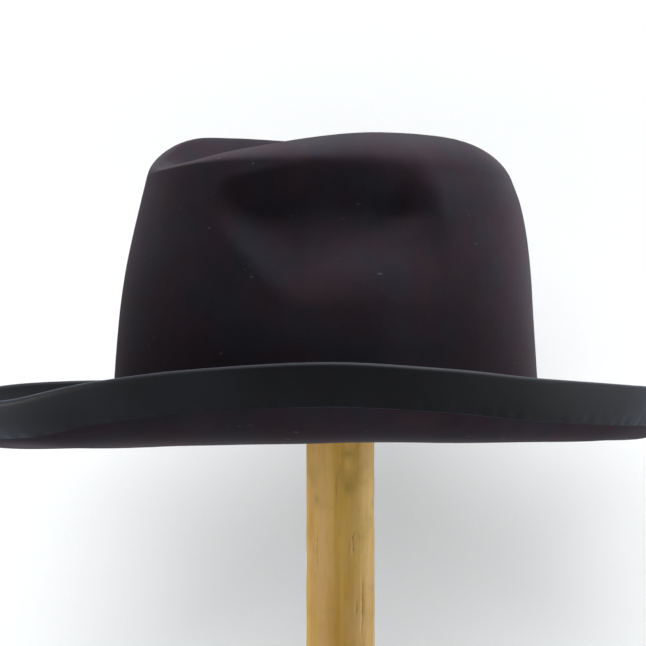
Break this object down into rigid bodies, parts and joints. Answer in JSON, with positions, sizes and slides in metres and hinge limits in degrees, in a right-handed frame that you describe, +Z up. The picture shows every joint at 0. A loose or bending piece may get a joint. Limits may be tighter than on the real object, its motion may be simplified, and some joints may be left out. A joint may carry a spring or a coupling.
{
  "type": "fedora on a post stand",
  "caption": "Felt fedora with a creased and pinched crown and a rolled brim bound in wide ribbon, resting on a round wooden post stand.",
  "frame": {"origin": "middle of the underside of the stand's foot, on the axis of the post", "axes": "+Z up along the post, -Y towards the front of the hat, +X towards the wearer's left"},
  "size_m": [0.2848, 0.3632, 0.3272],
  "materials": {
    "felt": "dark plum brown fur felt with a short matt nap",
    "ribbon": "slate grey ribbed grosgrain ribbon with a low sheen",
    "post_wood": "yellow brown oiled pine with lengthwise grain and small cracks",
    "stand_wood": "yellow brown turned pine, satin"
  },
  "bodies": {
    "root": {"felt_body": "felt", "brim_binding": "ribbon", "stand_post": "post_wood", "stand_foot": "stand_wood", "stand_cap": "stand_wood"}
  },
  "joints": []
}
